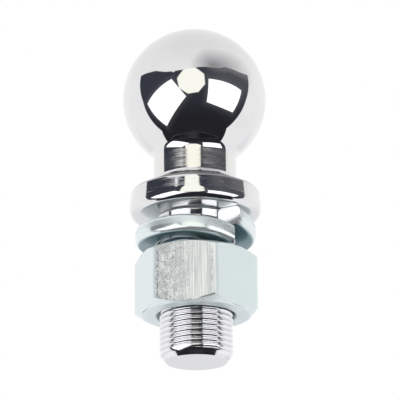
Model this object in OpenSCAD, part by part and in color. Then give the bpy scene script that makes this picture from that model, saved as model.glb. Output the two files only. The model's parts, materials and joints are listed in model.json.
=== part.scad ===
// Tow ball: a one-piece ball stud with its split lock washer and hex nut.
// The stud stands on the end of its shank, with the ball up and the Z axis through its middle.

/* [Ball] */
// Diameter of the ball that the coupler closes on
ball_d = 50.8; // [48:0.1:60]
// Diameter of the small flat on the crown of the ball
crown_flat_d = 16; // [8:0.5:24]
// Height of the ball's centre above the flange's rim
ball_rise = 35.2; // [33:0.1:44]

/* [Neck] */
// Diameter of the neck under the ball
neck_d = 29; // [26:0.1:31]
// Radius of the hollow blend from the neck to the sloping top of the flange
neck_foot_r = 2.5; // [1:0.1:4]
// Radius of the hollow blend from the neck to the ball
neck_head_r = 4; // [0.4:0.1:6]

/* [Flange] */
// Diameter of the flange that sits on the drawbar
flange_d = 45.9; // [45:0.1:54]
// Thickness of the flange at its rim
flange_t = 9; // [6:0.1:12]
// Radius of the flange's rounded lower edge
flange_low_r = 2.6; // [0.8:0.1:2.8]
// Radius of the flange's upper edge
flange_top_r = 0.8; // [0.2:0.1:1.2]
// Height of the upright belt of the rim, above its rounded lower edge
flange_belt = 1.3; // [0.4:0.1:2]
// Lean of the rim above the belt, as forged
flange_draft = 4.5; // [0:0.5:8]
// Slope of the flange's top, which falls from the neck to the rim
flange_slope = 25; // [0:1:30]

/* [Shank] */
// Diameter of the shank, over the crests of its thread
shank_d = 25.4; // [22:0.1:26]
// Length of the shank under the flange
shank_len = 52; // [48:0.5:80]
// Length and depth of the chamfer at the shank's end
shank_chamfer = 2.2; // [0.8:0.1:3]
// Radius of the hollow blend from the shank to the flange's underside
shank_root_r = 0.8; // [0.2:0.1:1]

/* [Lock washer] */
// Clearance between the shank and the washer's hole, on the radius
washer_fit = 0.3; // [0.15:0.05:0.8]
// Width of the washer's bar, from the hole to the rim
washer_w = 8; // [6:0.1:9]
// Thickness of the washer's bar
washer_t = 6.35; // [5:0.05:8]
// Radius of the bar's four rounded corners
washer_corner_r = 1.6; // [0.5:0.1:2.2]
// Free height of the sprung washer, from the tip of one end to the tip of the other
washer_free_h = 13.5; // [12.8:0.1:16]
// How far each end is bent out of the turn
washer_end_bend = 2.3; // [1:0.1:2.3]
// Angle of the turn over which each end is bent
washer_bend_turn = 60; // [30:5:90]
// Width of the split between the two cut ends
washer_gap = 2.4; // [1:0.1:4]
// Direction of the cut, seen from above
washer_cut_turn = -27.5; // [-90:0.5:90]
// Distance of the cut's middle from the axis, which makes the cut slant across the bar
washer_cut_offset = 6.8; // [0:0.1:9]
// Clearance between the washer's tips and what they bear on
washer_seat = 0.15; // [0.05:0.05:0.3]

/* [Hex nut] */
// Wall of the nut between its bore and its flats
nut_wall = 6.15; // [4.8:0.05:9]
// Thickness of the nut
nut_t = 21.8; // [18:0.1:26]
// Direction of one corner of the nut, seen from above
nut_turn = -11; // [-30:0.5:30]
// How far the nut's flat end faces stop short of its flats, where the corner chamfers begin
nut_face_inset = 0.45; // [0.1:0.05:2]
// Slope of the corner chamfers
nut_chamfer_angle = 30; // [15:1:45]
// Running clearance between the shank and the nut's bore, on the radius
nut_fit = 0.05; // [0.02:0.01:0.1]
// Width of the countersink round each mouth of the bore
nut_sink_w = 1; // [0.3:0.1:2]

/* [Hidden] */
$fn = 128;

ball_r = ball_d / 2;
neck_r = neck_d / 2;
flange_r = flange_d / 2;
shank_r = shank_d / 2;

flange_z = shank_len;
neck_z = flange_z + flange_t;
ball_z = neck_z + ball_rise;
crown_h = sqrt(pow(ball_r, 2) - pow(crown_flat_d / 2, 2));

// The rim leans in above its belt, and its upper edge touches both the leaning side and the sloping
// top, which climbs inwards until the foot blend takes it over. Each point is a radius and a height
// above the flange's underside.
belt_top = flange_low_r + flange_belt;
edge_mid = [
    flange_r - (flange_t - flange_top_r - belt_top) * tan(flange_draft) - flange_top_r / cos(flange_draft),
    flange_t - flange_top_r
];
edge_side = edge_mid + flange_top_r * [cos(flange_draft), sin(flange_draft)];
slope_low = edge_mid + flange_top_r * [sin(flange_slope), cos(flange_slope)];
slope_top_r = neck_r + neck_foot_r * (1 - sin(flange_slope));
slope_top = [slope_top_r, slope_low[1] + (slope_low[0] - slope_top_r) * tan(flange_slope)];
foot_mid = [neck_r + neck_foot_r, slope_top[1] + neck_foot_r * cos(flange_slope)];

// The washer stands between the nut and the flange, so its free height places the nut
washer_z = flange_z - washer_seat - washer_free_h;
washer_r = shank_r + washer_fit + washer_w / 2;
nut_z = washer_z - washer_seat - nut_t;

// The two cut ends lie on parallel planes, one on each side of the cut's middle
low_cut = washer_cut_offset + washer_gap / 2;
high_cut = washer_cut_offset - washer_gap / 2;
washer_body_rise = washer_free_h - washer_t - 2 * washer_end_bend;
bend_share = washer_bend_turn / 360;
washer_steps = 96;
corner_steps = 4;

nut_bore_r = shank_r + nut_fit;
nut_flat_r = nut_bore_r + nut_wall;
nut_face_r = nut_flat_r - nut_face_inset;
nut_corner_r = nut_flat_r / cos(30);
drum_r = nut_corner_r + nut_fit;
drum_drop = (drum_r - nut_face_r) * tan(nut_chamfer_angle);

// Room by which a cutting solid passes the face that it cuts
cut_over = 1;

// Flange with a rounded lower edge and a sloping top, standing on Z = 0
module flange() {
    rotate_extrude() {
        polygon([
            [0, 0],
            [flange_r - flange_low_r, 0],
            [flange_r - flange_low_r, flange_low_r],
            [flange_r, flange_low_r],
            [flange_r, belt_top],
            edge_side,
            edge_mid,
            slope_low,
            slope_top,
            [0, slope_top[1]]
        ]);
        translate([flange_r - flange_low_r, flange_low_r]) circle(flange_low_r);
        translate(edge_mid) circle(flange_top_r);
    }
}

// Hollow blend between the neck and the flange's sloping top, above the flange's underside
module foot_blend() {
    rotate_extrude() difference() {
        polygon([[0, slope_top[1]], slope_top, foot_mid, [0, foot_mid[1]]]);
        translate(foot_mid) circle(neck_foot_r);
    }
}

// Hollow blend in the corner between the shank and the flange's underside, below Z = 0
module root_blend() {
    rotate_extrude() difference() {
        translate([0, -shank_root_r]) square([shank_r + shank_root_r, shank_root_r]);
        translate([shank_r + shank_root_r, -shank_root_r]) circle(shank_root_r);
    }
}

// Hollow blend between the neck and the underside of the ball, about the ball's centre:
// its circle touches the neck's side and the sphere, so its centre is one radius from both
module head_blend() {
    centre_r = neck_r + neck_head_r;
    centre_z = -sqrt(pow(ball_r + neck_head_r, 2) - pow(centre_r, 2));
    touch = ball_r / (ball_r + neck_head_r);
    rotate_extrude() difference() {
        polygon([
            [0, centre_z],
            [centre_r, centre_z],
            [centre_r * touch, centre_z * touch],
            [0, centre_z * touch]
        ]);
        translate([centre_r, centre_z]) circle(neck_head_r);
    }
}

// The ball with its crown flat, about its own centre
module ball() {
    difference() {
        sphere(ball_r);
        translate([0, 0, crown_h]) cylinder(h = ball_r, r = ball_r);
    }
}

// The shank with its chamfered end on Z = 0
module shank() {
    cylinder(h = shank_chamfer, r1 = shank_r - shank_chamfer, r2 = shank_r);
    translate([0, 0, shank_chamfer]) cylinder(h = flange_z - shank_chamfer, r = shank_r);
}

// The stud is forged and turned in one piece
module ball_stud() {
    color("silver") union() {
        shank();
        translate([0, 0, flange_z]) {
            root_blend();
            flange();
            foot_blend();
        }
        translate([0, 0, neck_z]) cylinder(h = ball_rise, r = neck_r);
        translate([0, 0, ball_z]) {
            ball();
            head_blend();
        }
    }
}

// Outline of the washer's bar, as a radius from the axis and a height from the bar's middle
bar_section = [
    for (corner = [0 : 3], step = [0 : corner_steps - 1])
        let (
            side = [[1, 1], [-1, 1], [-1, -1], [1, -1]][corner],
            turn = 90 * (corner + step / (corner_steps - 1))
        )
        [
            washer_r + side[0] * (washer_w / 2 - washer_corner_r) + washer_corner_r * cos(turn),
            side[1] * (washer_t / 2 - washer_corner_r) + washer_corner_r * sin(turn)
        ]
];

// Direction at which a cut that passes the axis at distance cut crosses radius r
function cut_direction(cut, r) = washer_cut_turn - asin(cut / r);

// Height of the bar's middle at share s of the turn, with both ends bent out of the turn
function bar_height(s) =
    let (
        low_end = max(0, 1 - s / bend_share),
        high_end = max(0, 1 - (1 - s) / bend_share)
    )
    washer_t / 2 + washer_body_rise * s + washer_end_bend * (1 - pow(low_end, 2) + pow(high_end, 2));

// A point of the bar at share s of the turn, which climbs clockwise as seen from above
function bar_point(s, p) =
    let (
        start = cut_direction(low_cut, p[0]),
        finish = cut_direction(high_cut, p[0]) - 360,
        turn = start + s * (finish - start)
    )
    [p[0] * cos(turn), p[0] * sin(turn), bar_height(s) + p[1]];

// The washer's bar is carried once round the shank, from its low end to its high end
module lock_washer() {
    count = len(bar_section);
    points = [for (i = [0 : washer_steps], p = bar_section) bar_point(i / washer_steps, p)];
    sides = [
        for (i = [0 : washer_steps - 1], j = [0 : count - 1])
            let (
                a = i * count + j,
                b = i * count + (j + 1) % count
            )
            each [[a, b, b + count], [a, b + count, a + count]]
    ];
    low_end = [for (j = [0 : count - 1]) count - 1 - j];
    high_end = [for (j = [0 : count - 1]) washer_steps * count + j];
    color("lightsteelblue") translate([0, 0, washer_z])
        polyhedron(points = points, faces = concat([low_end], sides, [high_end]));
}

// Turned drum that trims the hexagon's corners at both faces
module corner_drum() {
    rotate_extrude() polygon([
        [0, 0],
        [nut_face_r, 0],
        [drum_r, drum_drop],
        [drum_r, nut_t - drum_drop],
        [nut_face_r, nut_t],
        [0, nut_t]
    ]);
}

// Countersink that opens a mouth of the bore at Z = 0 and narrows upwards
module countersink() {
    cylinder(h = nut_sink_w, r1 = nut_bore_r + nut_sink_w, r2 = nut_bore_r);
}

// Hexagonal nut on the threaded end of the shank
module hex_nut() {
    color("lightblue") translate([0, 0, nut_z]) difference() {
        intersection() {
            rotate(nut_turn) cylinder(h = nut_t, r = nut_corner_r, $fn = 6);
            corner_drum();
        }
        translate([0, 0, -cut_over]) cylinder(h = nut_t + 2 * cut_over, r = nut_bore_r);
        countersink();
        translate([0, 0, nut_t]) mirror([0, 0, 1]) countersink();
    }
}

ball_stud();
lock_washer();
hex_nut();
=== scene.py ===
"""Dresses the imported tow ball: a chromed ball stud, its split lock washer and its hex nut.

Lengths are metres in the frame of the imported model: Z runs up the shank to the ball, and -Y is the
side that the photograph shows. Each piece is a surface worked out with numpy as a grid of points,
and each finish is a procedural material on Object coordinates.
"""

import json
import logging
from dataclasses import dataclass
from enum import Enum
from math import atan2, cos, hypot, pi, radians, sin, sqrt, tan, tau
from typing import Any

import bpy
import numpy as np
from mathutils import Matrix, Vector


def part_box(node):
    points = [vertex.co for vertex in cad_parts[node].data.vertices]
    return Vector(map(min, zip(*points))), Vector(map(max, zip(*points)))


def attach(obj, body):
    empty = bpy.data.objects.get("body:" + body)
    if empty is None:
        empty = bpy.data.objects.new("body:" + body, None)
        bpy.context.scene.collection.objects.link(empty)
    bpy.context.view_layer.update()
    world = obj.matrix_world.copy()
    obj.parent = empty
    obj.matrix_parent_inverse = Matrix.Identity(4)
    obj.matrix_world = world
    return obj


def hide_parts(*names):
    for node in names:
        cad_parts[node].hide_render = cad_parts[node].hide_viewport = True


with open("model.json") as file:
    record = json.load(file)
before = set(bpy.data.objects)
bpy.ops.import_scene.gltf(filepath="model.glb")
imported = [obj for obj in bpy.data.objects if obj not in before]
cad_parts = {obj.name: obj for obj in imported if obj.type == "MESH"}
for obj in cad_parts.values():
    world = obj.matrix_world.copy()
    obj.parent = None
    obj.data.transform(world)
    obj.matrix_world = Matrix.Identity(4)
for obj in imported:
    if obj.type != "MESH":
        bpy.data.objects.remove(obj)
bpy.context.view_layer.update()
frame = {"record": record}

log = logging.getLogger("tow_ball")

Array = np.ndarray
Point = tuple[float, float]
Triple = tuple[float, float, float]
Colour = Triple
Material = bpy.types.Material
Mesh = bpy.types.Mesh
ShaderNode = bpy.types.ShaderNode
Piece = bpy.types.Object
Socket = bpy.types.NodeSocket

MM = 0.001
BODY = "root"
QUADRANTS = ((1, 1), (-1, 1), (-1, -1), (1, -1))
CLOUD_SPAN = (0.3, 0.7)
WHITE = (1, 1, 1, 1)


class Node(Enum):
    """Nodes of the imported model, each of which one piece stands for."""

    STUD = "ball_stud"
    WASHER = "lock_washer"
    NUT = "hex_nut"


class Slot(Enum):
    """Material slots of the record."""

    CHROME = "chrome"
    ZINC_WASHER = "zinc_washer"
    ZINC_NUT = "zinc_nut"


class Ends(Enum):
    """What closes the first and the last row of a grid of points."""

    CAPPED = "capped"
    JOINED = "joined"


def mount(name: str) -> dict[str, Any]:
    """The record's mount of that name."""
    return next(m for m in frame["record"]["mounts"] if m["name"] == name)


def line(start: Point, end: Point, steps: int) -> Array:
    """Points of a straight line: start + s (end - start), for s from 0 up to, and without, 1.

    Args:
        start: first point, as a radius and a height.
        end: point that the line runs to and leaves to what follows it.
        steps: number of points.

    Returns:
        Points in an array of shape (steps, 2).
    """
    share = np.arange(steps)[:, None] / steps
    return np.array(start) + share * (np.array(end) - np.array(start))


def arc(centre: Point, radius: float, first: float, last: float, steps: int) -> Array:
    """Points of an arc: centre + radius (cos a, sin a), for a from first up to, and without, last.

    Args:
        centre: middle of the arc, as a radius and a height.
        radius: radius of the arc.
        first: angle of the first point, in radians.
        last: angle that the arc runs to.
        steps: number of points.

    Returns:
        Points in an array of shape (steps, 2).
    """
    angle = first + np.arange(steps) / steps * (last - first)
    return np.array(centre) + radius * np.column_stack([np.cos(angle), np.sin(angle)])


def on_circle(centre: Point, radius: float, angle: float) -> Point:
    """Point of a circle: centre + radius (cos angle, sin angle)."""
    return centre[0] + radius * cos(angle), centre[1] + radius * sin(angle)


def towards(turn: float, rise: float = 0.0) -> Vector:
    """Direction at a turn t from the front (-Y) and a rise r: (cos r sin t, -cos r cos t, sin r)."""
    flat = cos(rise)
    return Vector((flat * sin(turn), -flat * cos(turn), sin(rise)))


def leant(side: Vector, up: Vector, angle: float) -> tuple[Vector, Vector]:
    """Two vectors at right angles, turned in their plane: (s cos a + u sin a, u cos a - s sin a)."""
    return side * cos(angle) + up * sin(angle), up * cos(angle) - side * sin(angle)


def turned(radius: Array, height: Array, turn: Array) -> Array:
    """Points at a radius, a height and a turn: (radius cos turn, radius sin turn, height).

    Args:
        radius: distance from the Z axis.
        height: height over the floor.
        turn: direction seen from above, in radians.

    Returns:
        Points in an array of shape (rows, columns, 3).
    """
    radius, height, turn = np.broadcast_arrays(radius, height, turn)
    return np.stack([radius * np.cos(turn), radius * np.sin(turn), height], axis=-1)


def grid_faces(rows: int, columns: int, ends: Ends) -> Array:
    """Quads of a grid whose columns run once round: (i, j), (i, j + 1), (i + 1, j + 1), (i + 1, j).

    Args:
        rows: number of rows.
        columns: number of columns.
        ends: whether the last row is joined to the first.

    Returns:
        Corner indices in an array of shape (faces, 4), with the outside on their left.
    """
    row = np.arange(rows if ends is Ends.JOINED else rows - 1)[:, None]
    column = np.arange(columns)[None, :]
    next_row = (row + 1) % rows * columns
    next_column = (column + 1) % columns
    row = row * columns
    corners = [row + column, row + next_column, next_row + next_column, next_row + column]
    return np.stack(corners, axis=-1).reshape(-1, 4)


def cap_faces(rim: Array, centre: int) -> Array:
    """Triangles from a rim's points to its centre: (centre, rim j + 1, rim j)."""
    return np.column_stack([np.full(len(rim), centre), np.roll(rim, -1), rim])


def closed_mesh(name: str, points: Array, ends: Ends, sharp: float) -> Mesh:
    """Makes one closed skin from a grid of points.

    Args:
        name: name of the mesh.
        points: grid of shape (rows, columns, 3), whose columns run once round.
        ends: joined to each other, or each closed by a flat cap about the middle of its row.
        sharp: angle between two faces above which their edge is sharp, in degrees.

    Returns:
        The mesh, with smooth faces that point outwards.
    """
    rows, columns = points.shape[:2]
    vertices = points.reshape(-1, 3)
    faces = grid_faces(rows, columns, ends).tolist()
    if ends is Ends.CAPPED:
        rim = np.arange(columns)
        count = len(vertices)
        vertices = np.vstack([vertices, points[0].mean(axis=0), points[-1].mean(axis=0)])
        faces += cap_faces(rim, count).tolist()
        faces += cap_faces(rim[::-1] + (rows - 1) * columns, count + 1).tolist()
    mesh = bpy.data.meshes.new(name)
    mesh.from_pydata(vertices.tolist(), [], faces)
    mesh.shade_smooth()
    mesh.set_sharp_from_angle(angle=radians(sharp))
    return mesh


def add_object(name: str, data: Any) -> Piece:
    """Adds an object to the scene.

    Args:
        name: name of the object.
        data: its mesh, lamp or camera.

    Returns:
        The object.
    """
    made = bpy.data.objects.new(name, data)
    bpy.context.scene.collection.objects.link(made)
    return made


def add_piece(mesh: Mesh, material: Material, node: Node) -> Piece:
    """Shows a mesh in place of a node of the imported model.

    Args:
        mesh: skin of the piece, in place.
        material: finish of the whole piece.
        node: node that the piece stands for.

    Returns:
        The piece, whose object sits at the origin.
    """
    mesh.materials.append(material)
    piece = add_object(mesh.name, mesh)
    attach(piece, BODY)
    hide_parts(node.value)
    return piece


@dataclass(frozen=True)
class Thread:
    """Right-hand V thread with rounded crests and roots, shared by the shank and the nut."""

    pitch: float = 1.87 * MM
    flank: float = tan(radians(49))
    crest_flat: float = 0.24
    crest_soft: float = 0.19
    root_soft: float = 0.08
    start: float = 0.37

    def groove(self, height: Array, turn: Array) -> Array:
        """Depth of the groove below the crests: flank (pitch / 2) max(1 - crest_flat - x, 0).

        x is the distance from the nearest root, 0 there and 1 on the crest, and both of its corners are
        softened with hypot. The roots lie where height / pitch - turn / (one turn) is a whole number
        plus start, so they climb as the turn grows.

        Args:
            height: height over the floor.
            turn: direction seen from above, in radians.

        Returns:
            Depths in the shape that height and turn make together.
        """
        phase = height / self.pitch - turn / tau - self.start
        from_root = np.hypot(2 * (phase - np.round(phase)), self.root_soft)
        rise = 1 - self.crest_flat - from_root
        at_crest = hypot(self.crest_flat, self.crest_soft) - self.crest_flat
        share = (rise + np.hypot(rise, self.crest_soft) - at_crest) / 2
        return self.flank * self.pitch / 2 * np.clip(share, 0, 1)


@dataclass
class BallStud:
    """Ball, neck, flange and threaded shank, forged and turned in one piece and chromed."""

    ball_r: float = mount("ball")["dims"]["r_mm"] * MM
    ball_z: float = mount("ball")["pos_m"][2]
    crown_flat_d: float = 16 * MM
    crown_edge_r: float = 0.6 * MM
    neck_r: float = 14.5 * MM
    neck_foot_r: float = 2.5 * MM
    neck_head_r: float = 4 * MM
    flange_r: float = 22.95 * MM
    flange_t: float = 9 * MM
    flange_low_r: float = 2.6 * MM
    flange_top_r: float = 0.8 * MM
    flange_belt: float = 0.7 * MM
    flange_draft: float = radians(4.5)
    flange_slope: float = radians(25)
    flange_swell_r: float = 12 * MM
    shank_root_r: float = 0.8 * MM
    shank_r: float = mount("shank")["dims"]["r_mm"] * MM
    flange_z: float = mount("shank")["pos_m"][2]
    shank_chamfer: float = 2.2 * MM
    shank_edge_back: float = 1.5 * MM
    thread: Thread = Thread()
    thread_open: float = 17 * MM
    thread_top: float = 36.5 * MM
    thread_low: float = 1.4 * MM
    thread_run_out: float = 1.5 * MM
    open_rows: int = 20
    hidden_rows: int = 8
    columns: int = 200

    def shank_rows(self) -> Array:
        """Radius and height of the shank's rows before the thread is cut.

        Each turn of the thread takes open_rows where it shows and hidden_rows in the nut and washer.

        Returns:
            Points in an array of shape (rows, 2).
        """
        pitch = self.thread.pitch
        open_rows = round((self.thread_open - self.shank_chamfer) / pitch * self.open_rows)
        hidden_rows = round((self.thread_top - self.thread_open) / pitch * self.hidden_rows)
        edge_r = self.shank_r - self.shank_chamfer
        side, back = self.shank_r, self.shank_edge_back
        eighth = pi / 4
        round_r = back / tan(eighth / 2)
        round_z = self.shank_chamfer + back
        cone_top = on_circle((side, self.shank_chamfer), back, -3 * eighth)
        return np.vstack([
            line((edge_r * 0.2, 0), (edge_r * 0.98, 0), 4),
            line((edge_r * 0.98, 0), (edge_r, 0), 3),
            line((edge_r, 0), cone_top, 10),
            arc((side - round_r, round_z), round_r, -eighth, 0, 30),
            line((side, round_z), (side, self.thread_open), open_rows),
            line((side, self.thread_open), (side, self.thread_top), hidden_rows),
            line((side, self.thread_top), (side, self.flange_z - self.shank_root_r), 8),
        ])

    def body_rows(self) -> Array:
        """Radius and height of the rows from the flange's underside to the middle of the crown.

        Each arc meets its neighbours at a tangent: its centre lies off both by its own radius.

        Returns:
            Points in an array of shape (rows, 2).
        """
        neck_z = self.flange_z + self.flange_t
        quarter = pi / 2
        low, top = self.flange_low_r, self.flange_top_r
        foot, head = self.neck_foot_r, self.neck_head_r
        root_centre = (self.shank_r + self.shank_root_r, self.flange_z - self.shank_root_r)
        low_centre = (self.flange_r - low, self.flange_z + low)
        swell, draft = self.flange_swell_r, self.flange_draft
        swell_centre = (self.flange_r - swell, self.flange_z + low + self.flange_belt)
        swell_end = on_circle(swell_centre, swell, draft)
        rise = neck_z - top - (swell_end[1] - top * sin(draft))
        top_centre = (swell_end[0] - top * cos(draft) - rise * tan(draft), neck_z - top)
        wall_top = on_circle(top_centre, top, draft)
        slope = self.flange_slope
        cone_low = on_circle(top_centre, top, quarter - slope)
        cone_high_r = self.neck_r + foot * (1 - sin(slope))
        cone_high = (cone_high_r, cone_low[1] + (cone_low[0] - cone_high_r) * tan(slope))
        foot_centre = (self.neck_r + foot, cone_high[1] + foot * cos(slope))
        head_x = self.neck_r + head
        head_y = -sqrt((self.ball_r + head) ** 2 - head_x**2)
        head_centre = (head_x, self.ball_z + head_y)
        ball_low = atan2(head_y, head_x)
        edge = self.crown_edge_r
        crown_h = sqrt(self.ball_r**2 - (self.crown_flat_d / 2) ** 2)
        edge_x = sqrt((self.ball_r - edge) ** 2 - (crown_h - edge) ** 2)
        edge_centre = (edge_x, self.ball_z + crown_h - edge)
        ball_high = atan2(crown_h - edge, edge_x)
        crown_z = self.ball_z + crown_h
        return np.vstack([
            arc(root_centre, self.shank_root_r, pi, quarter, 8),
            line((root_centre[0], self.flange_z), (low_centre[0], self.flange_z), 6),
            arc(low_centre, low, -quarter, 0, 16),
            line((self.flange_r, low_centre[1]), (self.flange_r, swell_centre[1]), 3),
            arc(swell_centre, swell, 0, draft, 5),
            line(swell_end, wall_top, 6),
            arc(top_centre, top, draft, quarter - slope, 10),
            line(cone_low, cone_high, 6),
            arc(foot_centre, foot, -quarter - slope, -pi, 20),
            line((self.neck_r, foot_centre[1]), (self.neck_r, head_centre[1]), 8),
            arc(head_centre, head, pi, ball_low + pi, 8),
            arc((0, self.ball_z), self.ball_r, ball_low, ball_high, 88),
            arc(edge_centre, edge, ball_high, quarter, 8),
            line((edge_x, crown_z), (edge_x * 0.96, crown_z), 2),
            line((edge_x * 0.96, crown_z), (edge_x * 0.1, crown_z), 4),
        ])

    def mesh(self) -> Mesh:
        """The whole stud as rows turned round the Z axis, with the thread cut into the shank's rows.

        The shank's radius is the smaller of its plain outline and of the crest radius less the groove,
        which fades out over the run-out at the thread's two ends.

        Returns:
            The stud's skin.
        """
        turn = np.arange(self.columns)[None, :] / self.columns * tau
        shank = self.shank_rows()
        radius, height = shank[:, :1], shank[:, 1:]
        from_ends = np.minimum(self.thread_top - height, height - self.thread_low)
        fade = np.clip(from_ends / self.thread_run_out, 0, 1)
        crest = self.shank_r - fade * self.thread.groove(height, turn)
        body = self.body_rows()
        points = np.vstack([
            turned(np.minimum(radius, crest), height, turn),
            turned(body[:, :1], body[:, 1:], turn),
        ])
        return closed_mesh("tow_ball_stud", points, Ends.CAPPED, sharp=50)


@dataclass
class LockWasher:
    """Split spring washer: one turn of a rounded bar, bent out at both ends and cut aslant."""

    inner_r: float = 13.0 * MM
    width: float = 8 * MM
    thickness: float = 6.35 * MM
    corner_r: float = 1.6 * MM
    bulge: float = 0.3 * MM
    free_h: float = 13.5 * MM
    end_bend: float = 2.3 * MM
    bend_share: float = 60 / 360
    gap: float = 2.4 * MM
    cut_turn: float = radians(-27.5)
    cut_offset: float = 6.8 * MM
    low_z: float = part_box(Node.WASHER.value)[0].z
    rows: int = 480
    corner_steps: int = 9
    side_steps: int = 6

    def section(self) -> Array:
        """Rounded rectangle: radius from the axis and height from the bar's middle, counter-clockwise.

        The outer side stands out in its middle: its radius falls by bulge (2 z / thickness)^2.

        Returns:
            Points in an array of shape (points, 2).
        """
        middle = self.inner_r + self.width / 2
        across = self.width / 2 - self.corner_r
        up = self.thickness / 2 - self.corner_r
        quarter = pi / 2
        centres = [(middle + x * across, z * up) for x, z in QUADRANTS]
        parts = []
        for i, centre in enumerate(centres):
            first, last = i * quarter, (i + 1) * quarter
            ends = [on_circle(c, self.corner_r, last) for c in (centre, centres[(i + 1) % 4])]
            parts.append(arc(centre, self.corner_r, first, last, self.corner_steps))
            parts.append(line(*ends, self.side_steps))
        outline = np.vstack(parts)
        fall = self.bulge * (2 * outline[:, 1] / self.thickness) ** 2
        outline[:, 0] -= np.where(outline[:, 0] > middle, fall, 0)
        return outline

    def cut_direction(self, cut: float, radius: Array) -> Array:
        """Direction in which a cut that passes the axis at a distance crosses a radius, in radians."""
        return self.cut_turn - np.arcsin(cut / radius)

    def bar_height(self, share: Array) -> Array:
        """Height of the bar's middle over the low end's underside, at a share of the turn.

        Half the thickness, plus the even climb, plus the bend at each end, which falls off with the
        square of the distance to the end of the bent stretch.

        Args:
            share: share of the turn, 0 at the low end and 1 at the high end.

        Returns:
            Heights in the same shape.
        """
        climb = self.free_h - self.thickness - 2 * self.end_bend
        low = np.clip(1 - share / self.bend_share, 0, None) ** 2
        high = np.clip(1 - (1 - share) / self.bend_share, 0, None) ** 2
        return self.thickness / 2 + climb * share + self.end_bend * (1 - low + high)

    def mesh(self) -> Mesh:
        """The bar's section carried once round the axis, climbing clockwise, between the two cuts.

        Returns:
            The washer's skin.
        """
        section = self.section()
        radius, offset = section[None, :, 0], section[None, :, 1]
        share = np.linspace(0, 1, self.rows)[:, None]
        start = self.cut_direction(self.cut_offset + self.gap / 2, radius)
        finish = self.cut_direction(self.cut_offset - self.gap / 2, radius) - tau
        turn = start + share * (finish - start)
        points = turned(radius, self.low_z + self.bar_height(share) + offset, turn)
        return closed_mesh("split_lock_washer", points, Ends.CAPPED, sharp=40)


@dataclass
class HexNut:
    """Hexagonal nut with chamfered corners, a countersunk bore and the shank's thread."""

    bore_r: float = 12.75 * MM
    wall: float = 6.15 * MM
    face_inset: float = 0.45 * MM
    chamfer: float = radians(30)
    sink: float = 1 * MM
    corner_turn: float = radians(-11)
    corner_r: float = 1.3 * MM
    low_z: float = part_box(Node.NUT.value)[0].z
    high_z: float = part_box(Node.NUT.value)[1].z
    thread: Thread = Thread()
    edge_backs: tuple[float, ...] = (0.05 * MM, 0.12 * MM, 0.3 * MM, 0.12 * MM)
    flat_columns: int = 26
    round_columns: int = 7

    @property
    def flat_r(self) -> float:
        """Distance from the axis to a flat."""
        return self.bore_r + self.wall

    @property
    def face_r(self) -> float:
        """Radius at which the end faces meet the corner chamfers."""
        return self.flat_r - self.face_inset

    def columns(self) -> tuple[Array, Array]:
        """Directions of the columns, closest at the rounded corners, and the hexagon's radius there.

        Within a sector, a flat at the angle b from its own middle has the radius flat_r / cos b. A
        corner is an arc of radius corner_r about a centre at the distance c on the corner's line, so
        its radius at the angle a from the corner is c cos a + sqrt(corner_r^2 - c^2 sin^2 a).

        Returns:
            Directions in radians and radii, each of shape (1, columns).
        """
        half = pi / 6
        centre = (self.flat_r - self.corner_r) / cos(half)
        meet = atan2(self.corner_r * sin(half), centre + self.corner_r * cos(half))
        rounded = np.linspace(-meet, meet, self.round_columns)
        flat = np.linspace(meet, 2 * half - meet, self.flat_columns + 2)[1:-1]
        held = np.array([1.5 * meet, 2 * half - 1.5 * meet])
        flat = np.sort(np.concatenate([flat, held]))
        bow = np.sqrt(self.corner_r**2 - (centre * np.sin(rounded)) ** 2)
        corner_radius = centre * np.cos(rounded) + bow
        flat_radius = self.flat_r / np.cos(flat - half)
        sector = np.concatenate([rounded, flat])
        turn = self.corner_turn + np.arange(6)[:, None] * 2 * half + sector
        return turn.reshape(1, -1), np.tile(np.concatenate([corner_radius, flat_radius]), 6)[None, :]

    def outline(self, rim: Array) -> Array:
        """Corners of the nut's section at each column, from the lower countersink round to the upper.

        Args:
            rim: the hexagon's radius at each column.

        Returns:
            Radii and heights over the nut's underside, in an array of shape (corners, columns, 2).
        """
        height = self.high_z - self.low_z
        drop = (rim - self.face_r) * tan(self.chamfer)
        sink_r = self.bore_r + self.sink
        radius = [self.bore_r, sink_r, self.face_r, rim, rim, self.face_r, sink_r, self.bore_r]
        level = [self.sink, 0, 0, drop, height - drop, height, height, height - self.sink]
        corners = [np.broadcast_arrays(r, z, rim)[:2] for r, z in zip(radius, level)]
        return np.stack([np.concatenate(c).T for c in corners])

    def mesh(self) -> Mesh:
        """The section's rounded outline at each column, closed through the threaded bore.

        In the bore the radius is the larger of the thread's and of the countersink's cone there.

        Returns:
            The nut's skin.
        """
        turn, rim = self.columns()
        corners = self.outline(rim)
        outer = np.vstack([
            rounded_corner(corners[i - 1], corners[i], corners[(i + 1) % len(corners)], back)
            for i, back in enumerate((*self.edge_backs, *reversed(self.edge_backs)))
        ])
        bore_steps = round((self.high_z - self.low_z) / self.thread.pitch * 8)
        share = np.linspace(1, 0, bore_steps + 2)[1:-1, None]
        bore = corners[0][None] + share[..., None] * (corners[-1] - corners[0])[None]
        section = np.concatenate([outer, bore])
        radius, height = section[..., 0], section[..., 1] + self.low_z
        ridge = self.bore_r - self.thread.groove(height, turn)
        level = np.minimum(height - self.low_z, self.high_z - height)
        cone = self.bore_r + self.sink - level
        in_bore = radius < self.bore_r + self.sink * 0.99
        radius = np.where(in_bore, np.maximum(ridge, np.minimum(cone, radius + self.sink)), radius)
        return closed_mesh("hex_nut_shell", turned(radius, height, turn), Ends.JOINED, sharp=50)


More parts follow.
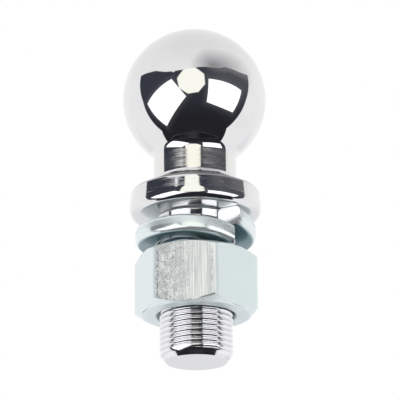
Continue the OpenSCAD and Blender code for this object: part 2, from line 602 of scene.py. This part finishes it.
def rounded_corner(before: Array, corner: Array, after: Array, back: float, steps: int = 5) -> Array:
    """Rounds a corner of an outline at every column: (1 - s)^2 A + 2 s (1 - s) C + s^2 B.

    C is the corner, and A and B lie on its two sides at the distance back. One more point on each side,
    at twice that distance, holds the flat next to it.

    Args:
        before: the corner before it, of shape (columns, 2).
        corner: the corner itself.
        after: the corner after it.
        back: distance over which each side is rounded.
        steps: number of steps round the corner.

    Returns:
        Points in an array of shape (steps + 3, columns, 2).
    """
    to_before = before - corner
    to_after = after - corner
    to_before = to_before / np.linalg.norm(to_before, axis=-1, keepdims=True)
    to_after = to_after / np.linalg.norm(to_after, axis=-1, keepdims=True)
    s = np.linspace(0, 1, steps + 1)[:, None, None]
    first, last = corner + back * to_before, corner + back * to_after
    curve = (1 - s) ** 2 * first + 2 * s * (1 - s) * corner + s**2 * last
    holds = corner + 2 * back * np.stack([to_before, to_after])
    return np.concatenate([holds[:1], curve, holds[1:]])


@dataclass
class Graph:
    """Adds nodes to a shader and joins them, one formula at a time."""

    tree: bpy.types.NodeTree

    def node(self, kind: str, **settings: Any) -> ShaderNode:
        """Adds a node.

        Args:
            kind: Blender's name for the kind of node.
            settings: properties of the node itself.

        Returns:
            The node.
        """
        made = self.tree.nodes.new(kind)
        for name, value in settings.items():
            setattr(made, name, value)
        return made

    def feed(self, socket: Socket, value: Any) -> None:
        """Gives a socket its value.

        Args:
            socket: input of a node.
            value: an output to join it to, or a value to set on it.
        """
        if isinstance(value, bpy.types.NodeSocket):
            self.tree.links.new(value, socket)
        else:
            socket.default_value = value

    def fill(self, node: ShaderNode, values: dict[str, Any]) -> None:
        """Feeds a node's inputs by name."""
        for name, value in values.items():
            self.feed(node.inputs[name], value)

    def join(self, kind: str, *values: Any, **settings: Any) -> Socket:
        """Adds a node and feeds its inputs in order.

        Args:
            kind: Blender's name for the kind of node.
            values: outputs or values for its inputs, from the first.
            settings: properties of the node itself.

        Returns:
            The node's first output.
        """
        made = self.node(kind, **settings)
        for socket, value in zip(made.inputs, values):
            self.feed(socket, value)
        return made.outputs[0]

    def math(self, operation: str, *values: Any) -> Socket:
        """Result of a Math node on numbers or outputs."""
        return self.join("ShaderNodeMath", *values, operation=operation)

    def times(self, first: Any, second: Any) -> Socket:
        """Product of two numbers or outputs."""
        return self.math("MULTIPLY", first, second)

    def minus(self, first: Any, second: Any) -> Socket:
        """The first of two numbers or outputs less the second."""
        return self.math("SUBTRACT", first, second)

    def plus_each(self, base: Any, *pairs: tuple[Any, Any]) -> Socket:
        """Adds products to a number: base + a b + c d and so on.

        Args:
            base: number or output to add to.
            pairs: the two factors of each product.

        Returns:
            The sum.
        """
        for first, second in pairs:
            base = self.math("MULTIPLY_ADD", first, second, base)
        return base

    def length(self, first: Any, second: Any) -> Socket:
        """Length of a vector with two parts: sqrt(first^2 + second^2)."""
        return self.math("SQRT", self.plus_each(0.0, (first, first), (second, second)))

    def split(self, vector: Socket) -> tuple[Socket, ...]:
        """The X, Y and Z parts of a vector."""
        return tuple(self.join("ShaderNodeSeparateXYZ", vector).node.outputs)

    def dot(self, vector: Socket, other: Vector) -> Socket:
        """Dot product of an output and a fixed vector."""
        made = self.join("ShaderNodeVectorMath", vector, tuple(other), operation="DOT_PRODUCT")
        return made.node.outputs["Value"]

    def ramp(self, value: Any, low: float, high: float, first: float = 0, last: float = 1) -> Socket:
        """Value carried from the range low to high into the range first to last, and held there."""
        return self.join("ShaderNodeMapRange", value, low, high, first, last, clamp=True)

    def fall(self, value: Any, low: float, high: float) -> Socket:
        """1 below the range low to high and 0 above it."""
        return self.ramp(value, low, high, 1, 0)

    def band(self, value: Any, low: float, high: float, soft: float) -> Socket:
        """1 between two limits and 0 beyond them, with soft edges inside the limits."""
        return self.times(self.ramp(value, low, low + soft), self.fall(value, high - soft, high))

    def away(self, value: Any, low: float, middle: float, high: float) -> Socket:
        """0 in the middle, and 1 at both limits and beyond them."""
        return self.math("ADD", self.fall(value, low, middle), self.ramp(value, middle, high))

    def place_and_normal(self) -> tuple[Socket, Socket]:
        """Object coordinates, and the direction that the surface faces."""
        outputs = self.node("ShaderNodeTexCoord").outputs
        return outputs["Object"], outputs["Normal"]

    def facing(self, normal: Socket, turn: float, least: float = 0.975) -> Socket:
        """1 on an upright flat that faces a turn, and 0 on what faces away from it."""
        return self.ramp(self.dot(normal, towards(turn)), least, 0.995)

    def noise(self, vector: Socket, scale: float, detail: float = 2, rough: float = 0.5) -> Socket:
        """Noise from 0 to 1, about 0.5 in the middle.

        Args:
            vector: place to read it at.
            scale: number of its cells in a unit of length.
            detail: number of finer layers.
            rough: weight of each finer layer against the one before.

        Returns:
            The noise.
        """
        made = self.node("ShaderNodeTexNoise")
        self.fill(made, {"Vector": vector, "Scale": scale, "Detail": detail, "Roughness": rough})
        return made.outputs["Fac"]

    def streaks(self, place: Socket, level: float, plumb: float, detail: float, rough: float) -> Socket:
        """Noise drawn out into streaks.

        Args:
            place: place on the part.
            level: number of its cells in a metre on the level.
            plumb: number of its cells in a metre up and down.
            detail: number of finer layers.
            rough: weight of each finer layer against the one before.

        Returns:
            The noise.
        """
        made = self.node("ShaderNodeMapping", vector_type="POINT")
        self.fill(made, {"Vector": place, "Scale": (level, level, plumb)})
        return self.noise(made.outputs[0], 1, detail, rough)

    def bump(self, height: Socket, strength: float, reach: float) -> Socket:
        """Raises a surface by a pattern.

        Args:
            height: the pattern.
            strength: share of its effect, from 0 to 1.
            reach: height of the pattern where it is 1, in metres.

        Returns:
            The direction that the raised surface faces.
        """
        made = self.node("ShaderNodeBump")
        self.fill(made, {"Strength": strength, "Distance": reach, "Height": height})
        return made.outputs["Normal"]

    def mix(self, share: Any, first: Any, second: Any) -> Socket:
        """Colour between two colours: (1 - share) first + share second.

        Args:
            share: share of the second colour.
            first: colour or output.
            second: colour or output.

        Returns:
            The mixed colour.
        """
        made = self.node("ShaderNodeMix", data_type="RGBA")
        self.feed(made.inputs["Factor"], share)
        for socket, value in zip((made.inputs[6], made.inputs[7]), (first, second)):
            self.feed(socket, (*value, 1) if isinstance(value, tuple) else value)
        return made.outputs[2]

    def layers(self, base: Any, *coats: tuple[Any, Any]) -> Socket:
        """Lays colours over a colour, one after another.

        Args:
            base: colour underneath.
            coats: share and colour of each coat, from the lowest.

        Returns:
            The colour that shows.
        """
        for share, colour in coats:
            base = self.mix(share, base, colour)
        return base


def new_material(name: str) -> tuple[Material, Graph, ShaderNode]:
    """Starts a material.

    Args:
        name: name of the material.

    Returns:
        The material, a graph on its nodes and its Principled shader.
    """
    material = bpy.data.materials.new(name)
    material.use_nodes = True
    tree = material.node_tree
    return material, Graph(tree), tree.nodes["Principled BSDF"]


@dataclass(frozen=True)
class ChromeFinish:
    """Bright chrome plate: polished on the ball, turned on the neck and dull on the flange's top, with
    painted shade and a painted dark reflection on that top's front.
    """

    plate: Colour = (0.80, 0.80, 0.81)
    worn_plate: Colour = (0.76, 0.76, 0.77)
    neck_plate: Colour = (0.80, 0.785, 0.765)
    thread_plate: Colour = (0.85, 0.85, 0.87)
    root_shade_plate: Colour = (0.64, 0.64, 0.68)
    # Near-black colour of the painted shade and dark reflection on the front of the flange's top.
    ledge_shade_plate: Colour = (0.04, 0.04, 0.045)
    thread_high: float = 20 * MM
    underside_z: float = mount("shank")["pos_m"][2]
    ledge_span: Point = (60.3 * MM, 64.8 * MM)
    ledge_front: Point = (-13 * MM, -6 * MM)
    neck_span: Point = (66.0 * MM, 73.3 * MM)
    neck_anisotropy: float = 0.83
    polish: Point = (0.015, 0.045)
    turned_rough: Point = (0.05, 0.135)
    rubbed_rough: Point = (0.03, 0.10)
    rubbed_side: Point = (-9.5 * MM, -0.5 * MM)
    thread: Thread = Thread()

    def near_root(self, graph: Graph, x: Socket, y: Socket, z: Socket) -> Socket:
        """Nearness to the thread's root, which sets the share of painted shade there: (1 - s)^3, where
        s is 0 there and 1 on the crest.

        Args:
            graph: graph on the finish's nodes.
            x: place on the part across the photograph.
            y: place on the part away from the camera.
            z: height over the floor.

        Returns:
            The nearness, from 0 to 1.
        """
        turns = graph.math("DIVIDE", graph.math("ARCTAN2", y, x), tau)
        rows = graph.minus(graph.math("DIVIDE", z, self.thread.pitch), self.thread.start)
        phase = graph.minus(rows, turns)
        offset = graph.math("PINGPONG", phase, 0.5)
        return graph.math("POWER", graph.fall(offset, 0.0, 0.5), 3)

    def material(self) -> Material:
        """Polished plate, with marks that run round the neck and blur what it reflects up and down, and
        painted shade in the thread's roots and on the front of the flange's top.

        Returns:
            The material.
        """
        material, graph, shader = new_material("bright_chrome")
        place, _ = graph.place_and_normal()
        x, y, height = graph.split(place)
        neck = graph.band(height, *self.neck_span, 0.2 * MM)
        # The ledge mask, limited to the front of the flange's top, carries painted shade and a painted
        # dark reflection as well as extra roughness.
        ledge = graph.band(height, *self.ledge_span, 0.5 * MM)
        ledge = graph.times(ledge, graph.fall(y, *self.ledge_front))
        under = graph.band(height, self.underside_z - 0.3 * MM, self.underside_z + 0.1 * MM, 0.1 * MM)
        thread = graph.band(height, 0.2 * MM, self.thread_high, 0.5 * MM)
        cloud = graph.noise(place, 60, 3)
        rings = graph.streaks(place, 60, 5200, 3, 0.6)
        smears = graph.streaks(place, 160, 1500, 4, 0.65)
        # Painted shade in the thread's grooves: the colour darkens toward each root.
        thread_with_root_shade = graph.mix(self.near_root(graph, x, y, height), self.thread_plate, self.root_shade_plate)
        plate = graph.layers(self.worn_plate, (cloud, self.plate), (thread, thread_with_root_shade))
        plate = graph.layers(plate, (neck, self.neck_plate), (ledge, self.ledge_shade_plate))
        rim = graph.band(height, self.underside_z + 0.5 * MM, self.ledge_span[0], 0.5 * MM)
        scratches = graph.streaks(place, 130, 1700, 4, 0.7)
        scuffs = graph.times(rim, graph.ramp(scratches, 0.5, 0.72))
        rubbed = graph.band(x, *self.rubbed_side, 3 * MM)
        turned = graph.ramp(smears, 0.35, 0.65, *self.turned_rough)
        turned = graph.plus_each(turned, (rubbed, graph.ramp(smears, *CLOUD_SPAN, *self.rubbed_rough)))
        rough = graph.ramp(cloud, *CLOUD_SPAN, *self.polish)
        rough = graph.plus_each(rough, (ledge, 0.25), (under, 0.12), (thread, 0.08), (scuffs, 0.3))
        skin = graph.noise(place, 220, 1)
        marks = graph.times(rings, graph.plus_each(0.1, (neck, 1.0), (rim, 0.3)))
        graph.fill(shader, {
            "Metallic": 1.0,
            "Base Color": plate,
            "Roughness": graph.plus_each(rough, (neck, turned)),
            "Tangent": graph.join("ShaderNodeTangent", direction_type="RADIAL", axis="Z"),
            "Anisotropic": graph.times(neck, self.neck_anisotropy),
            "Anisotropic Rotation": 0.25,
            "Normal": graph.bump(graph.plus_each(marks, (skin, 0.25)), 0.22, 0.01 * MM),
        })
        return material


@dataclass(frozen=True)
class WasherFinish:
    """Bright bluish zinc plate on spring steel, dull on the bar's sides and brighter on its corners."""

    plate: Colour = (0.80, 0.86, 0.87)
    dull_plate: Colour = (0.74, 0.81, 0.83)
    underside_shade_plate: Colour = (0.15, 0.25, 0.28)
    speckle_plate: Colour = (0.45, 0.49, 0.50)
    cut_plate: Colour = (0.97, 0.99, 1.0)
    cut_turn: float = radians(-27.5)
    metallic: float = 0.76
    satin: Point = (0.15, 0.21)

    def material(self) -> Material:
        """Fine clouds in the plate, with drawing marks along the bar and painted shade underneath.

        Returns:
            The material.
        """
        material, graph, shader = new_material("bright_zinc")
        place, normal = graph.place_and_normal()
        x, y, _ = graph.split(place)
        tilt = graph.split(normal)[2]
        side = graph.times(graph.ramp(tilt, -0.04, 0.01), graph.fall(tilt, 0.3, 0.6))
        above = graph.ramp(tilt, 0.7, 0.95)
        # Painted shade: the bar's underside, which faces the nut, is coloured dark teal.
        under = graph.fall(tilt, -0.98, -0.75)
        right = graph.ramp(x, 3 * MM, 9 * MM)
        cut_face = graph.times(graph.facing(normal, self.cut_turn, 0.97), right)
        dull = graph.minus(side, cut_face)
        cloud = graph.noise(place, 140, 4, 0.6)
        grain = graph.noise(place, 1500, 3, 0.7)
        front = graph.fall(y, -14 * MM, -10 * MM)
        speckled = graph.times(graph.times(right, front), side)
        specks = graph.times(speckled, graph.ramp(grain, 0.45, 0.62, 0, 0.8))
        plate = graph.layers(self.dull_plate, (cloud, self.plate), (specks, self.speckle_plate))
        plate = graph.layers(plate, (cut_face, self.cut_plate), (under, self.underside_shade_plate))
        rough = graph.ramp(cloud, *CLOUD_SPAN, *self.satin)
        streaks = graph.streaks(place, 300, 2600, 3, 0.6)
        graph.fill(shader, {
            "Metallic": self.metallic,
            "Base Color": plate,
            "Roughness": graph.plus_each(rough, (dull, 0.2), (above, 0.25)),
            "Normal": graph.bump(graph.plus_each(streaks, (grain, 0.35)), 0.2, 0.02 * MM),
        })
        return material


@dataclass(frozen=True)
class NutFinish:
    """Satin bluish zinc plate, with one scuffed flat, painted light on the flat to its right, painted
    shade round the bore and a painted dark glint on one chamfer.
    """

    plate: Colour = (0.81, 0.88, 0.895)
    dull_plate: Colour = (0.74, 0.815, 0.835)
    # Colour of the pits and of the painted dark glint on the chamfer.
    pit_and_glint_plate: Colour = (0.22, 0.22, 0.24)
    grey_plate: Colour = (0.56, 0.57, 0.60)
    rubbed_plate: Colour = (0.95, 0.95, 0.94)
    streak_plate: Colour = (0.56, 0.61, 0.62)
    # Paler colour of the flat to the right of the scuffed one: painted light.
    lit_face_plate: Colour = (0.89, 0.99, 1.0)
    sink_shade_plate: Colour = (0.14, 0.20, 0.22)
    metallic: float = 0.5
    satin: Point = (0.34, 0.42)
    lit_face_turn: float = radians(49)
    sink_r: float = 14.2 * MM
    flat_turn: float = radians(-11)
    pitted_to: float = -1.0 * MM
    dotted_line: float = 9.3 * MM
    edge_line: float = -9.6 * MM
    face_r: float = 18.45 * MM
    chamfer: float = radians(30)
    low_z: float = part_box(Node.NUT.value)[0].z

    def scuffed(self, graph: Graph, place: Socket, normal: Socket) -> tuple[Socket, ...]:
        """Where the scuffed flat lies, its grey part, its dark pits and a painted dark glint on its
        chamfer, its rubbed streaks and the painted shade of the bore.

        Args:
            graph: graph on the finish's nodes.
            place: position on the part.
            normal: direction that the surface faces.

        Returns:
            Shares from 0 to 1 of the flat, its grey part, its pits with the painted glint, its streaks,
            and the painted shade of the bore with its sink.
        """
        across = graph.dot(place, towards(self.flat_turn + pi / 2))
        flat = graph.facing(normal, self.flat_turn)
        x, y, height = graph.split(place)
        blotches = graph.noise(place, 330, 3, 0.6)
        ragged = graph.plus_each(across, (graph.minus(blotches, 0.5), 12 * MM))
        left = graph.fall(ragged, self.pitted_to - 4 * MM, self.pitted_to + 5 * MM)
        speckle = graph.noise(place, 2000, 3, 0.7)
        patches = graph.ramp(graph.noise(place, 480, 2, 0.6), 0.38, 0.58)
        grey = graph.times(left, patches)
        pits_and_glint = graph.times(left, graph.ramp(speckle, 0.53, 0.62))
        dashes = graph.ramp(graph.noise(place, 1300, 2, 0.6), 0.47, 0.55)
        radius = graph.length(x, y)
        drop = graph.times(graph.minus(radius, self.face_r), tan(self.chamfer))
        over_chamfer = graph.minus(graph.minus(height, self.low_z), drop)
        lines = (
            (across, self.dotted_line, 0.16 * MM),
            (across, self.edge_line, 0.4 * MM),
            (over_chamfer, 0.25 * MM, 0.22 * MM),
        )
        for value, middle, half in lines:
            dotted = graph.band(value, middle - half, middle + half, half * 0.6)
            pits_and_glint = graph.math("MAXIMUM", pits_and_glint, graph.times(dotted, dashes))
        # Painted glint: a solid dark band along the chamfer at the flat's right end stands in for a
        # dark reflection, and joins the pits.
        painted_glint = graph.band(over_chamfer, 0.02 * MM, 0.75 * MM, 0.2 * MM)
        painted_glint = graph.times(painted_glint, graph.band(across, 4.5 * MM, 12 * MM, 1.5 * MM))
        pits_and_glint = graph.math("MAXIMUM", pits_and_glint, painted_glint)
        rubbed = graph.ramp(graph.streaks(place, 2600, 60, 4, 0.65), 0.38, 0.62)
        return flat, grey, pits_and_glint, rubbed, graph.fall(radius, self.sink_r - 0.7 * MM, self.sink_r)

    def material(self) -> Material:
        """Even plate, but for the scuffed flat, which is pitted on its left and rubbed on its right,
        with painted light on the next flat to the right and painted shade round the bore.

        Returns:
            The material.
        """
        material, graph, shader = new_material("satin_zinc")
        place, normal = graph.place_and_normal()
        flat, grey, pits_and_glint, rubbed, sink_shade = self.scuffed(graph, place, normal)
        slanted = graph.band(graph.split(normal)[2], -0.97, -0.25, 0.1)
        cloud = graph.noise(place, 160, 4, 0.6)
        # Painted light: the flat to the right of the scuffed one gets a paler colour than the other
        # flats.
        pale = graph.facing(normal, self.lit_face_turn)
        plain = graph.layers(self.dull_plate, (cloud, self.plate), (pale, self.lit_face_plate))
        # Painted shade round the bore and its countersink.
        plain = graph.mix(sink_shade, plain, self.sink_shade_plate)
        wear_and_glint = graph.mix(rubbed, self.streak_plate, self.rubbed_plate)
        wear_and_glint = graph.layers(wear_and_glint, (grey, self.grey_plate), (pits_and_glint, self.pit_and_glint_plate))
        rough = graph.ramp(cloud, *CLOUD_SPAN, *self.satin)
        shear = graph.streaks(place, 1800, 90, 3, 0.6)
        scuffs = graph.minus(graph.times(rubbed, 2.0), graph.times(pits_and_glint, 3.0))
        graph.fill(shader, {
            "Metallic": self.metallic,
            "Base Color": graph.mix(flat, plain, wear_and_glint),
            "Roughness": graph.plus_each(rough, (slanted, -0.14)),
            "Normal": graph.bump(graph.plus_each(shear, (scuffs, flat)), 0.3, 0.02 * MM),
        })
        return material


@dataclass(frozen=True)
class SoftBox:
    """A square studio lamp: turn and rise of its four corners as seen from the part, in degrees."""

    corners: tuple[Point, ...]
    light: Colour = (1.6, 1.6, 1.6)
    soft: float = 0.012
    haze: float = 0.03
    haze_reach: float = 0.2

    def mask(self, graph: Graph, direction: Socket) -> Socket:
        """1 inside the four planes through the part and two neighbouring corners, and a haze outside.

        The haze is haze s^2, where s falls from 1 to 0 over haze_reach beyond the nearest plane.

        Args:
            graph: graph on the world's nodes.
            direction: direction that the light comes from.

        Returns:
            The lamp's share of the light there.
        """
        corners = [towards(radians(turn), radians(rise)) for turn, rise in self.corners]
        middle = sum(corners, Vector())
        inside = None
        for first, second in zip(corners, corners[1:] + corners[:1]):
            plane = first.cross(second).normalized()
            if plane.dot(middle) < 0:
                plane = -plane
            reach = graph.dot(direction, plane)
            inside = reach if inside is None else graph.math("MINIMUM", inside, reach)
        near = graph.math("POWER", graph.ramp(inside, -self.haze_reach, 0.0), 2)
        lit = graph.ramp(inside, -self.soft / 2, self.soft / 2)
        return graph.math("MAXIMUM", lit, graph.times(near, self.haze))


@dataclass(frozen=True)
class OctagonLamp:
    """An eight-sided studio lamp beside the camera."""

    turn: float = radians(-4.7)
    rise: float = radians(11.2)
    lean: float = radians(-8.1)
    half_angle: float = radians(20.55)
    light: Colour = (1.2, 1.2, 1.08)
    soft: float = 0.04

    def mask(self, graph: Graph, direction: Socket) -> Socket:
        """1 where the larger of |a|, |b| and (|a| + |b|) / root 2 is under 1, and 0 outside.

        a and b are the direction's shares across and up the lamp, over tan(half_angle).

        Args:
            graph: graph on the world's nodes.
            direction: direction that the light comes from.

        Returns:
            The lamp's share of the light there.
        """
        axis = towards(self.turn, self.rise)
        level = axis.cross(Vector((0, 0, 1))).normalized()
        ahead = graph.dot(direction, axis)
        reach = graph.times(graph.math("MAXIMUM", ahead, 0.001), tan(self.half_angle))
        a, b = (
            graph.math("ABSOLUTE", graph.math("DIVIDE", graph.dot(direction, side), reach))
            for side in leant(level, level.cross(axis), self.lean)
        )
        slant = graph.times(graph.math("ADD", a, b), sqrt(0.5))
        edge = graph.math("MAXIMUM", graph.math("MAXIMUM", a, b), slant)
        return graph.fall(edge, 1 - self.soft, 1 + self.soft)


@dataclass(frozen=True)
class Studio:
    """White studio with a dark front half, two square lamps and an eight-sided one."""

    boxes: tuple[SoftBox, ...] = (
        SoftBox(((-35.9, 15.7), (-13.5, -14.2), (-71.9, -46.4), (-82.8, -6.7))),
        SoftBox(((22.5, 14.1), (79.1, 7.9), (73.4, -23.9), (21.3, -22.6))),
    )
    octagon: OctagonLamp = OctagonLamp()
    front_edge: Point = (0.005, 0.025)
    front_lean: float = 0.29
    foot_reach: float = 0.29
    foot_lean_rise: Point = (-56.0, -44.5)
    right_lean: float = 0.14
    screen_top: tuple[Point, ...] = (
        (-101.5, 29.3), (-90.6, 31.1), (-68.6, 32.3), (-47.1, 28.4), (-37.2, 28.2), (-34.0, 26.0),
        (-31.2, 28.4), (-21.2, 29.3), (7.7, 33.5), (18.2, 34.1), (30.4, 33.2), (43.2, 33.4),
        (55.9, 36.0), (69.0, 33.6), (82.7, 30.9), (98.9, 29.5),
    )
    ceiling_rise: Point = (20.0, 75.0)
    back_rise: Point = (-12.0, -2.0)
    screen_rise: Point = (-45.0, 10.0)
    right_turn: Point = (5.0, 50.0)
    right_rise: Point = (-15.0, 22.0)
    rim_turn: Point = (20.0, 56.0)
    rim_depth: Point = (3.0, 9.0)
    foot_rise: Point = (-82.0, -68.0)
    smudge_turn: Triple = (-8.0, 32.0, 117.0)
    smudge_rise: Triple = (4.0, 37.0, 70.0)
    wall: Colour = (1.02, 1.02, 1.02)
    clouded: Colour = (0.8, 0.8, 0.8)
    ceiling: Colour = (0.90, 0.90, 0.90)
    back_low: Colour = (0.88, 0.885, 0.90)
    smudge: Colour = (0.29, 0.29, 0.30)
    screen_low: Colour = (0.020, 0.020, 0.025)
    screen_high: Colour = (0.046, 0.051, 0.068)
    screen_right: Colour = (0.095, 0.098, 0.112)
    screen_rim: Colour = (0.19, 0.19, 0.195)
    screen_foot: Colour = (0.060, 0.054, 0.062)

    def screen_line(self, graph: Graph, turn: Socket) -> Socket:
        """Height of the dark front's upper edge, on straight lines between the points of screen_top.

        Args:
            graph: graph on the world's nodes.
            turn: turn from the front, in degrees.

        Returns:
            The rise of the edge, in degrees.
        """
        span = 180
        tall = 90
        curve = graph.node("ShaderNodeFloatCurve")
        points = curve.mapping.curves[0].points
        places = [(0.5 + angle / (2 * span), rise / tall) for angle, rise in self.screen_top]
        for point, place in zip(points[:2], places):
            point.location = place
        for place in places[2:]:
            points.new(*place)
        for point in points:
            point.handle_type = "VECTOR"
        curve.mapping.update()
        graph.feed(curve.inputs["Value"], graph.ramp(turn, -span, span))
        return graph.times(curve.outputs[0], tall)

    def pale_side(self, graph: Graph, direction: Socket, turn: Socket, rise: Socket) -> Socket:
        """Clouded walls and ceiling, with one grey smudge over the dark front.

        Args:
            graph: graph on the world's nodes.
            direction: direction that the light comes from.
            turn: its turn from the front, in degrees.
            rise: its rise, in degrees.

        Returns:
            The colour there.
        """
        behind = graph.ramp(graph.split(direction)[1], 0.6, 0.9)
        cloud = graph.noise(direction, 2.2, 3)
        away = graph.length(graph.away(turn, *self.smudge_turn), graph.away(rise, *self.smudge_rise))
        return graph.layers(
            self.wall,
            (graph.ramp(rise, *self.ceiling_rise), self.ceiling),
            (graph.times(behind, graph.fall(rise, *self.back_rise)), self.back_low),
            (graph.ramp(cloud, 0.45, 0.8, 0.0, 0.3), self.clouded),
            (graph.fall(away, 0.0, 1.0), self.smudge),
        )

    def dark_front(self, graph: Graph, turn: Socket, rise: Socket, under: Socket) -> Socket:
        """The dark front, paler on its right, along its upper edge there and at its foot.

        Args:
            graph: graph on the world's nodes.
            turn: turn from the front, in degrees.
            rise: rise, in degrees.
            under: distance under the front's upper edge, in degrees.

        Returns:
            The colour there.
        """
        right = graph.times(graph.ramp(turn, *self.right_turn), graph.ramp(rise, *self.right_rise))
        rim = graph.times(graph.ramp(turn, *self.rim_turn), graph.fall(under, *self.rim_depth))
        return graph.layers(
            self.screen_low,
            (graph.ramp(rise, *self.screen_rise), self.screen_high),
            (right, self.screen_right),
            (rim, self.screen_rim),
            (graph.fall(rise, *self.foot_rise), self.screen_foot),
        )

    def front_share(self, graph: Graph, direction: Socket, rise: Socket) -> Socket:
        """1 before the dark front's side edges, which lean back above and at the foot, and 0 behind.

        Args:
            graph: graph on the world's nodes.
            direction: direction that the light comes from.
            rise: its rise, in degrees.

        Returns:
            The share of the dark front there.
        """
        x, y, z = graph.split(direction)
        above = graph.math("MAXIMUM", z, 0.0)
        low_right = graph.times(graph.math("MAXIMUM", x, 0.0), graph.math("MINIMUM", z, 0.0))
        lean = graph.ramp(rise, *self.foot_lean_rise, self.foot_reach, 0.0)
        lean = graph.plus_each(lean, (low_right, self.right_lean), (above, self.front_lean))
        return graph.fall(graph.minus(y, lean), *self.front_edge)

    def light(self, graph: Graph) -> Socket:
        """Colour of the studio in each direction.

        Args:
            graph: graph on the world's nodes.

        Returns:
            The colour.
        """
        direction = graph.node("ShaderNodeTexCoord").outputs["Generated"]
        x, y, z = graph.split(direction)
        turn = graph.math("DEGREES", graph.math("ARCTAN2", x, graph.times(y, -1.0)))
        rise = graph.math("DEGREES", graph.math("ARCSINE", z))
        under = graph.minus(self.screen_line(graph, turn), rise)
        screen = graph.times(self.front_share(graph, direction, rise), graph.ramp(under, -0.6, 0.6))
        pale = self.pale_side(graph, direction, turn, rise)
        dark = self.dark_front(graph, turn, rise, under)
        lamps = [(lamp.mask(graph, direction), lamp.light) for lamp in (*self.boxes, self.octagon)]
        return graph.layers(pale, (screen, dark), *lamps)

    def build_world(self) -> None:
        """Lights the part with the studio, and shows plain white behind it to the camera."""
        world = bpy.data.worlds.new("white_studio")
        world.use_nodes = True
        bpy.context.scene.world = world
        graph = Graph(world.node_tree)
        lit = world.node_tree.nodes["Background"]
        graph.feed(lit.inputs["Color"], self.light(graph))
        seen = graph.join("ShaderNodeBackground", WHITE)
        camera = graph.node("ShaderNodeLightPath").outputs["Is Camera Ray"]
        shown = graph.join("ShaderNodeMixShader", camera, lit.outputs[0], seen)
        graph.feed(graph.tree.nodes["World Output"].inputs["Surface"], shown)


@dataclass(frozen=True)
class Floor:
    """Plain pale floor that keeps the part's shadow and lets a camera under it look through."""

    half: float = 3.0
    drop: float = 0.05 * MM
    pale: Colour = (0.8, 0.8, 0.8)
    glow: float = 0.12
    sun_power: float = 0.9
    sun_spread: float = radians(25)
    sun_rise: float = radians(58)
    sun_turn: float = radians(-20)

    def material(self) -> Material:
        """Matt from above, with a little glow for the camera alone, and clear from below.

        Returns:
            The material.
        """
        material, graph, plain = new_material("pale_floor")
        graph.tree.nodes.remove(plain)
        camera = graph.node("ShaderNodeLightPath").outputs["Is Camera Ray"]
        matt = graph.join("ShaderNodeBsdfDiffuse", (*self.pale, 1))
        glow = graph.join("ShaderNodeEmission", WHITE, graph.times(camera, self.glow))
        both = graph.join("ShaderNodeAddShader", matt, glow)
        below = graph.node("ShaderNodeNewGeometry").outputs["Backfacing"]
        clear = graph.join("ShaderNodeBsdfTransparent")
        shown = graph.join("ShaderNodeMixShader", below, both, clear)
        graph.feed(graph.tree.nodes["Material Output"].inputs["Surface"], shown)
        return material

    def build(self) -> None:
        """Lays the floor just under the shank's end and hangs one soft lamp over it."""
        mesh = bpy.data.meshes.new("floor")
        corners = [(x * self.half, y * self.half, -self.drop) for x, y in QUADRANTS]
        mesh.from_pydata(corners, [], [(0, 1, 2, 3)])
        mesh.materials.append(self.material())
        floor = add_object("floor", mesh)
        floor.visible_glossy = False
        floor.visible_shadow = False
        lamp = bpy.data.lights.new("soft_lamp", "SUN")
        lamp.energy = self.sun_power
        lamp.angle = self.sun_spread
        sun = add_object("soft_lamp", lamp)
        sun.rotation_euler = towards(self.sun_turn, self.sun_rise).to_track_quat("Z", "Y").to_euler()
        sun.visible_glossy = False


@dataclass(frozen=True)
class Viewpoint:
    """Camera of the photograph, which looks up from below the nut."""

    aim: Triple = (1.66 * MM, 0.0, 58.75 * MM)
    distance: float = 820 * MM
    look_up: float = radians(19)
    roll: float = radians(-0.5)
    sensor: float = 36.0
    focal_pixels: float = 2341.0
    picture_pixels: float = 400.0

    def build(self) -> None:
        """Places the camera and makes it the scene's own."""
        ahead = Vector((0, cos(self.look_up), sin(self.look_up)))
        right = Vector((1, 0, 0))
        side, top = leant(right, right.cross(ahead), self.roll)
        data = bpy.data.cameras.new("camera")
        data.sensor_width = self.sensor
        data.lens = self.focal_pixels / self.picture_pixels * self.sensor
        camera = add_object("camera", data)
        place = Matrix((side, top, -ahead)).transposed().to_4x4()
        place.translation = Vector(self.aim) - ahead * self.distance
        camera.matrix_world = place
        bpy.context.scene.camera = camera


def main() -> None:
    """Builds the camera, the studio and the three pieces in order, and reports each piece."""
    logging.basicConfig(level=logging.INFO, format="%(name)s: %(message)s")
    bpy.context.scene.view_settings.view_transform = "Standard"
    Viewpoint().build()
    Studio().build_world()
    Floor().build()
    pieces = [
        add_piece(BallStud().mesh(), ChromeFinish().material(), Node.STUD),
        add_piece(LockWasher().mesh(), WasherFinish().material(), Node.WASHER),
        add_piece(HexNut().mesh(), NutFinish().material(), Node.NUT),
    ]
    for piece in pieces:
        faces = len(piece.data.polygons)
        log.info("%s: %d faces, %d triangles", piece.name, faces, len(piece.data.loops) - 2 * faces)


if __name__ == "__main__":
    main()
